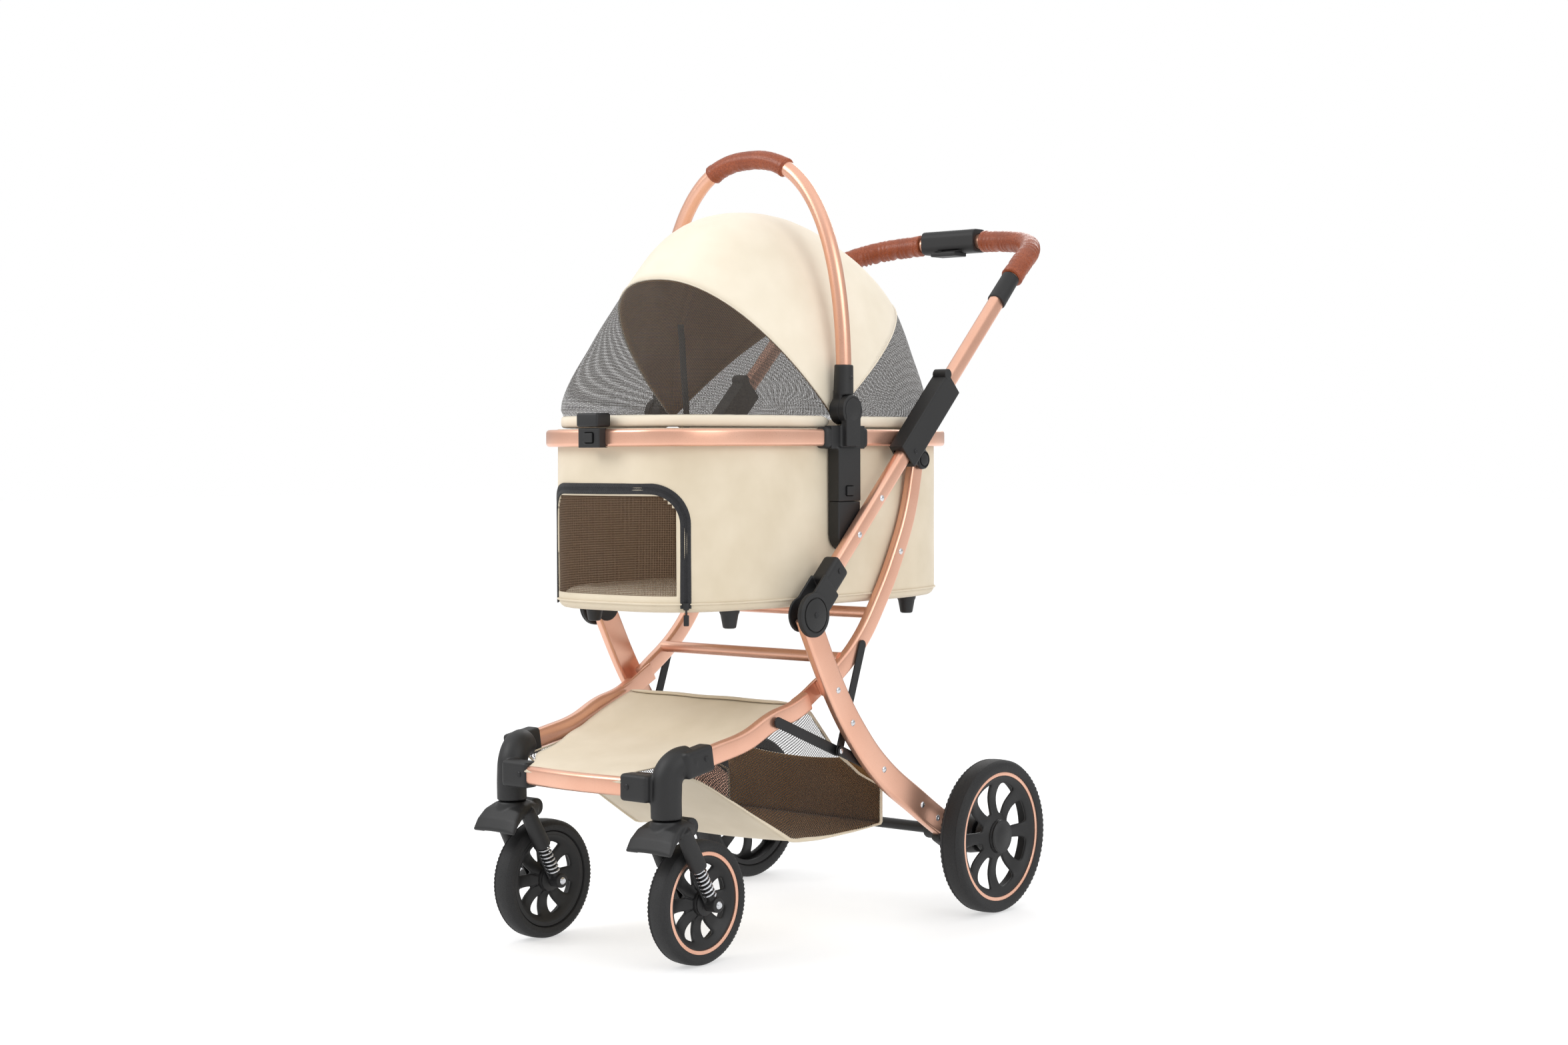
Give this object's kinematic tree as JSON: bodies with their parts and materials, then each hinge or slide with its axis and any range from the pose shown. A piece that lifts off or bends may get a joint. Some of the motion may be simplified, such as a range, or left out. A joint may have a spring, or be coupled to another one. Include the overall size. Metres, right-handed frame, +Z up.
{
  "type": "pet stroller",
  "caption": "Folding pet stroller with swivel front castors, larger rear wheels, a lift-off carrier with hood and carrying handle, and a lower basket.",
  "frame": {"origin": "middle of the footprint box, on the floor", "axes": "+Z up, -Y is the stroller's front, +X is its own left"},
  "size_m": [0.527, 0.917, 1.1368],
  "materials": {
    "rose_gold_paint": "satin metallic",
    "black_plastic": "fine matt texture",
    "tyre_rubber": "matt, knurled tread",
    "black_steel": "satin black",
    "spring_steel": "bright",
    "tan_leather": "smooth, creased in the bends",
    "beige_fabric": "plain weave"
  },
  "bodies": {
    "rear_frame": {"rear_leg_left": "rose_gold_paint", "rear_leg_right": "rose_gold_paint", "rear_axle": "black_steel", "axle_bracket_left": "black_plastic", "axle_bracket_right": "black_plastic", "basket": "beige_fabric"},
    "push_arm": {"push_frame": "rose_gold_paint", "handle_grip_left": "tan_leather", "handle_grip_right": "tan_leather", "handle_housing": "black_plastic", "hinge_socket_left": "black_plastic", "hinge_socket_right": "black_plastic", "receiver_left": "black_plastic", "receiver_right": "black_plastic"},
    "fold_lever": {"fold_lever": "black_plastic"},
    "sliders": {"fold_slider_left": "black_plastic", "fold_slider_right": "black_plastic"},
    "arc": {"arc_frame": "rose_gold_paint"},
    "front_frame": {"front_arm_left": "rose_gold_paint", "front_arm_right": "rose_gold_paint", "castor_bracket_left": "black_plastic", "castor_bracket_right": "black_plastic", "front_crossbar": "rose_gold_paint", "footboard": "beige_fabric"},
    "upright_links": {"upright_link_left": "black_steel", "upright_link_right": "black_steel"},
    "rear_braces": {"rear_brace_left": "black_steel", "rear_brace_right": "black_steel"},
    "front_braces": {"front_brace_left": "black_steel", "front_brace_right": "black_steel"},
    "carrier": {"carrier_ring": "rose_gold_paint", "tub": "beige_fabric", "carrier_clamp_left": "black_plastic", "carrier_clamp_right": "black_plastic", "lock_box": "black_plastic", "hood": "beige_fabric"},
    "canopy_bow": {"canopy_bow": "beige_fabric"},
    "lock_button": {"lock_button": "black_plastic"},
    "carry_handle": {"carry_handle": "rose_gold_paint", "carry_grip": "tan_leather"},
    "brake_left": {"brake_pedal_left": "black_plastic"},
    "rear_wheel_left": {"rear_rim_left": "black_plastic", "rear_tyre_left": "tyre_rubber"},
    "castor_left": {"fork_left": "black_plastic", "outer_spring_left": "spring_steel", "inner_spring_left": "spring_steel"},
    "axle_yoke_left": {"axle_yoke_left": "black_plastic"},
    "front_wheel_left": {"front_rim_left": "black_plastic", "front_tyre_left": "tyre_rubber"},
    "release_button_left": {"release_button_left": "black_plastic"},
    "brake_right": {"brake_pedal_right": "black_plastic"},
    "rear_wheel_right": {"rear_rim_right": "black_plastic", "rear_tyre_right": "tyre_rubber"},
    "castor_right": {"fork_right": "black_plastic", "outer_spring_right": "spring_steel", "inner_spring_right": "spring_steel"},
    "axle_yoke_right": {"axle_yoke_right": "black_plastic"},
    "front_wheel_right": {"front_rim_right": "black_plastic", "front_tyre_right": "tyre_rubber"},
    "release_button_right": {"release_button_right": "black_plastic"}
  },
  "joints": [
    {"name": "fold", "type": "hinge", "parent": "rear_frame", "child": "push_arm", "pos_m": [0, -0.1875, 0.467], "axis": [-1, 0, 0], "range_deg": [0, 60], "deforming": ["basket"]},
    {"name": "arc_fold", "type": "hinge", "parent": "rear_frame", "child": "arc", "pos_m": [0, -0.1255, 0.357], "axis": [-1, 0, 0], "range_deg": [0, 66]},
    {"name": "slider_travel", "type": "slide", "parent": "push_arm", "child": "sliders", "axis": [0, 0.7133, 0.7009], "range_m": [0, 0.14]},
    {"name": "front_fold", "type": "hinge", "parent": "rear_frame", "child": "front_frame", "pos_m": [0, -0.1255, 0.357], "axis": [1, 0, 0], "range_deg": [0, 64]},
    {"name": "rear_brace_turn", "type": "hinge", "parent": "rear_frame", "child": "rear_braces", "pos_m": [0, -0.0195, 0.234], "axis": [1, 0, 0], "range_deg": [0, 100]},
    {"name": "front_brace_turn", "type": "hinge", "parent": "front_frame", "child": "front_braces", "pos_m": [0, -0.2275, 0.319], "axis": [-1, 0, 0], "range_deg": [0, 87]},
    {"name": "upright_link_turn", "type": "hinge", "parent": "arc", "child": "upright_links", "pos_m": [0, -0.0445, 0.415], "axis": [1, 0, 0], "range_deg": [0, 86]},
    {"name": "carrier_lift", "type": "slide", "parent": "push_arm", "child": "carrier", "axis": [0, 0, 1], "range_m": [0, 0.6]},
    {"name": "castor_swivel_left", "type": "hinge", "parent": "front_frame", "child": "castor_left", "pos_m": [0.148, -0.4225, 0.204], "axis": [0, 0, 1], "continuous": true},
    {"name": "suspension_left", "type": "slide", "parent": "castor_left", "child": "axle_yoke_left", "axis": [0, -0.4924, 0.8704], "range_m": [0, 0.008], "stiffness_N_per_m": 12000, "springref_m": -0.004, "deforming": ["outer_spring_left", "inner_spring_left"]},
    {"name": "front_wheel_spin_left", "type": "hinge", "parent": "axle_yoke_left", "child": "front_wheel_left", "pos_m": [0.148, -0.3625, 0.085], "axis": [1, 0, 0], "continuous": true},
    {"name": "rear_wheel_spin_left", "type": "hinge", "parent": "rear_frame", "child": "rear_wheel_left", "pos_m": [0.2445, 0.1975, 0.115], "axis": [1, 0, 0], "continuous": true},
    {"name": "brake_left", "type": "hinge", "parent": "rear_frame", "child": "brake_left", "pos_m": [0.154, 0.1975, 0.115], "axis": [-1, 0, 0], "range_deg": [0, 20]},
    {"name": "release_button_left", "type": "slide", "parent": "carrier", "child": "release_button_left", "axis": [-1, 0, 0], "range_m": [0, 0.0025], "stiffness_N_per_m": 800, "springref_m": -0.001},
    {"name": "castor_swivel_right", "type": "hinge", "parent": "front_frame", "child": "castor_right", "pos_m": [-0.148, -0.4225, 0.204], "axis": [0, 0, 1], "continuous": true},
    {"name": "suspension_right", "type": "slide", "parent": "castor_right", "child": "axle_yoke_right", "axis": [0, -0.4924, 0.8704], "range_m": [0, 0.008], "stiffness_N_per_m": 12000, "springref_m": -0.004, "deforming": ["outer_spring_right", "inner_spring_right"]},
    {"name": "front_wheel_spin_right", "type": "hinge", "parent": "axle_yoke_right", "child": "front_wheel_right", "pos_m": [-0.148, -0.3625, 0.085], "axis": [1, 0, 0], "continuous": true},
    {"name": "rear_wheel_spin_right", "type": "hinge", "parent": "rear_frame", "child": "rear_wheel_right", "pos_m": [-0.2445, 0.1975, 0.115], "axis": [1, 0, 0], "continuous": true},
    {"name": "brake_right", "type": "hinge", "parent": "rear_frame", "child": "brake_right", "pos_m": [-0.154, 0.1975, 0.115], "axis": [-1, 0, 0], "range_deg": [0, 20]},
    {"name": "release_button_right", "type": "slide", "parent": "carrier", "child": "release_button_right", "axis": [1, 0, 0], "range_m": [0, 0.0025], "stiffness_N_per_m": 800, "springref_m": -0.001},
    {"name": "carry_handle_swing", "type": "hinge", "parent": "carrier", "child": "carry_handle", "pos_m": [0, -0.0755, 0.753], "axis": [1, 0, 0], "range_deg": [-80, 80]},
    {"name": "canopy_open", "type": "hinge", "parent": "carrier", "child": "canopy_bow", "pos_m": [0, -0.0755, 0.74], "axis": [-1, 0, 0], "range_deg": [0, 110], "deforming": ["hood"]},
    {"name": "lock_button", "type": "slide", "parent": "carrier", "child": "lock_button", "axis": [0, 1, 0], "range_m": [0, 0.0025], "stiffness_N_per_m": 800, "springref_m": -0.001},
    {"name": "fold_lever_squeeze", "type": "slide", "parent": "push_arm", "child": "fold_lever", "axis": [0, 0, 1], "range_m": [0, 0.0035], "stiffness_N_per_m": 900, "springref_m": -0.003}
  ],
  "couplings": [
    {"joint": "arc_fold", "follows": "fold", "ratio": 1.0796},
    {"joint": "slider_travel", "follows": "fold", "m_per_rad": 0.12124},
    {"joint": "front_fold", "follows": "fold", "ratio": 1.0429},
    {"joint": "rear_brace_turn", "follows": "fold", "ratio": 1.6457},
    {"joint": "front_brace_turn", "follows": "fold", "ratio": 1.4242},
    {"joint": "upright_link_turn", "follows": "fold", "ratio": 1.404},
    {"joint": "carrier_lift", "follows": "fold", "m_per_rad": 0.5729}
  ]
}
